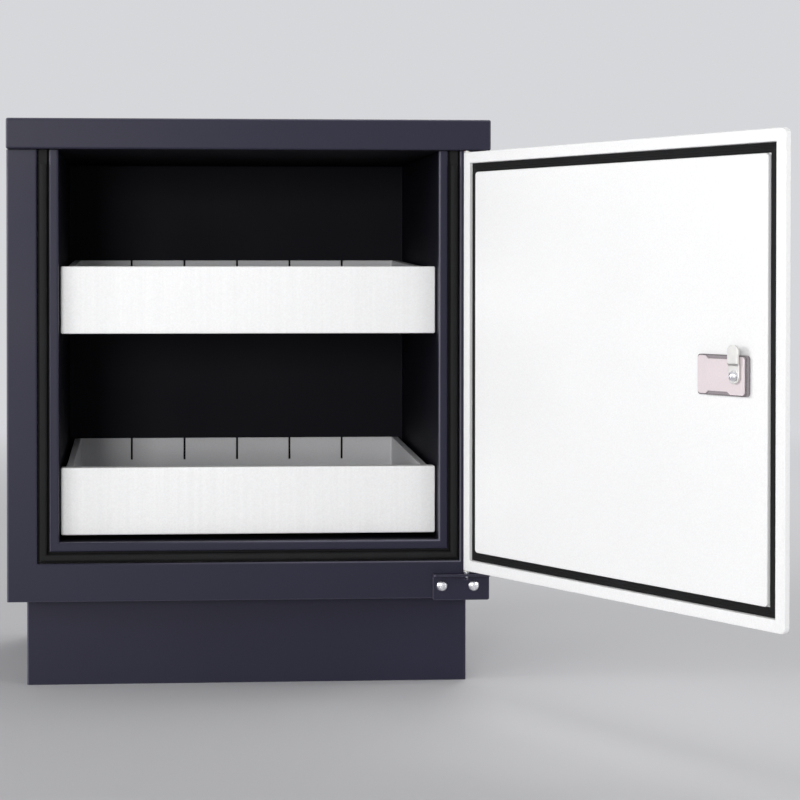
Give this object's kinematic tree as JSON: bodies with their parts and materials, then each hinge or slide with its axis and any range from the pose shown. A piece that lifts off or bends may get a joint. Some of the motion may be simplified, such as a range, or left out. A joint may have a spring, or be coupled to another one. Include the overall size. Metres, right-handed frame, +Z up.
{
  "type": "data storage cabinet",
  "caption": "Low insulated data storage cabinet on a recessed plinth, with a thin overlay door standing open and shallow drawers on telescopic slides.",
  "frame": {"origin": "centre of the casing's footprint, on the floor, at the underside of the plinth", "axes": "+Z up, -Y towards the front where the door and drawers open, +X towards the hinge side"},
  "size_m": [0.7649, 0.8451, 0.65],
  "materials": {
    "slate_paint": "satin powder coat, slate blue-grey",
    "liner_paint": "matt near-black lining",
    "white_paint": "satin white powder coat",
    "tray_paint": "satin light grey",
    "seal_rubber": "matt black",
    "fibre_board": "pressed mineral board",
    "zinc_steel": "zinc plated",
    "bright_steel": "bright plated",
    "lock_paint": "satin off-white",
    "black_steel": "satin dark grey",
    "nylon": "natural",
    "slide_steel": "zinc plated, rolled"
  },
  "bodies": {
    "cabinet": {"plinth": "slate_paint", "outer_casing": "slate_paint", "back_cover": "slate_paint", "top_cap": "slate_paint", "ceiling_panel": "liner_paint", "top_insulation": "fibre_board", "left_insulation": "fibre_board", "right_insulation": "fibre_board", "floor_insulation": "fibre_board", "rear_insulation": "fibre_board", "inner_liner": "liner_paint", "lip_frame": "slate_paint", "frame_seal": "seal_rubber", "keeper_cup": "black_steel", "hinge_bracket": "slate_paint", "bracket_screw_left": "bright_steel", "bracket_screw_right": "bright_steel", "lower_pivot_pin": "zinc_steel", "upper_pivot_pin": "zinc_steel", "lower_left_slide_outer": "slide_steel", "lower_right_slide_outer": "slide_steel", "upper_left_slide_outer": "slide_steel", "upper_right_slide_outer": "slide_steel"},
    "door": {"door_skin": "white_paint", "door_gasket": "seal_rubber", "door_core": "fibre_board", "door_panel": "white_paint", "lower_bush": "nylon", "upper_bush": "nylon", "lock_case": "black_steel", "lock_cover": "lock_paint", "handle_rosette": "black_steel"},
    "handle": {"lock_spindle": "zinc_steel", "lock_cam": "zinc_steel", "cam_screw": "bright_steel", "handle_grip": "black_steel"},
    "key": {"key_plug": "bright_steel"},
    "lower_drawer": {"lower_drawer_front": "white_paint", "lower_drawer_tray": "tray_paint", "lower_left_slide_inner": "slide_steel", "lower_right_slide_inner": "slide_steel"},
    "lower_middle_members": {"lower_left_slide_middle": "slide_steel", "lower_right_slide_middle": "slide_steel"},
    "lower_outer_cages": {"lower_left_outer_cage": "zinc_steel", "lower_right_outer_cage": "zinc_steel"},
    "lower_inner_cages": {"lower_left_inner_cage": "zinc_steel", "lower_right_inner_cage": "zinc_steel"},
    "upper_drawer": {"upper_drawer_front": "white_paint", "upper_drawer_tray": "tray_paint", "upper_left_slide_inner": "slide_steel", "upper_right_slide_inner": "slide_steel"},
    "upper_middle_members": {"upper_left_slide_middle": "slide_steel", "upper_right_slide_middle": "slide_steel"},
    "upper_outer_cages": {"upper_left_outer_cage": "zinc_steel", "upper_right_outer_cage": "zinc_steel"},
    "upper_inner_cages": {"upper_left_inner_cage": "zinc_steel", "upper_right_inner_cage": "zinc_steel"}
  },
  "joints": [
    {"name": "door_hinge", "type": "hinge", "parent": "cabinet", "child": "door", "pos_m": [0.24815, -0.2038, 0.103], "axis": [0, 0, 1], "range_deg": [-118.3, 46.7]},
    {"name": "handle_turn", "type": "hinge", "parent": "door", "child": "handle", "pos_m": [0.46059, -0.59096, 0.3767], "axis": [-0.8805, -0.4741, 0], "range_deg": [-90, 0]},
    {"name": "key_turn", "type": "hinge", "parent": "handle", "child": "key", "pos_m": [0.48639, -0.57707, 0.3767], "axis": [-0.8805, -0.4741, 0], "range_deg": [-90, 0]},
    {"name": "lower_drawer_slide", "type": "slide", "parent": "cabinet", "child": "lower_drawer", "axis": [0, -1, 0], "range_m": [0, 0.28]},
    {"name": "lower_middle_members_slide", "type": "slide", "parent": "cabinet", "child": "lower_middle_members", "axis": [0, -1, 0], "range_m": [0, 0.1401]},
    {"name": "lower_outer_cages_slide", "type": "slide", "parent": "cabinet", "child": "lower_outer_cages", "axis": [0, -1, 0], "range_m": [0, 0.0701]},
    {"name": "lower_inner_cages_slide", "type": "slide", "parent": "cabinet", "child": "lower_inner_cages", "axis": [0, -1, 0], "range_m": [0, 0.2101]},
    {"name": "upper_drawer_slide", "type": "slide", "parent": "cabinet", "child": "upper_drawer", "axis": [0, -1, 0], "range_m": [0, 0.28]},
    {"name": "upper_middle_members_slide", "type": "slide", "parent": "cabinet", "child": "upper_middle_members", "axis": [0, -1, 0], "range_m": [0, 0.1401]},
    {"name": "upper_outer_cages_slide", "type": "slide", "parent": "cabinet", "child": "upper_outer_cages", "axis": [0, -1, 0], "range_m": [0, 0.0701]},
    {"name": "upper_inner_cages_slide", "type": "slide", "parent": "cabinet", "child": "upper_inner_cages", "axis": [0, -1, 0], "range_m": [0, 0.2101]}
  ],
  "couplings": [
    {"joint": "lower_middle_members_slide", "follows": "lower_drawer_slide", "ratio": 0.5},
    {"joint": "lower_outer_cages_slide", "follows": "lower_drawer_slide", "ratio": 0.25},
    {"joint": "lower_inner_cages_slide", "follows": "lower_drawer_slide", "ratio": 0.75},
    {"joint": "upper_middle_members_slide", "follows": "upper_drawer_slide", "ratio": 0.5},
    {"joint": "upper_outer_cages_slide", "follows": "upper_drawer_slide", "ratio": 0.25},
    {"joint": "upper_inner_cages_slide", "follows": "upper_drawer_slide", "ratio": 0.75}
  ]
}
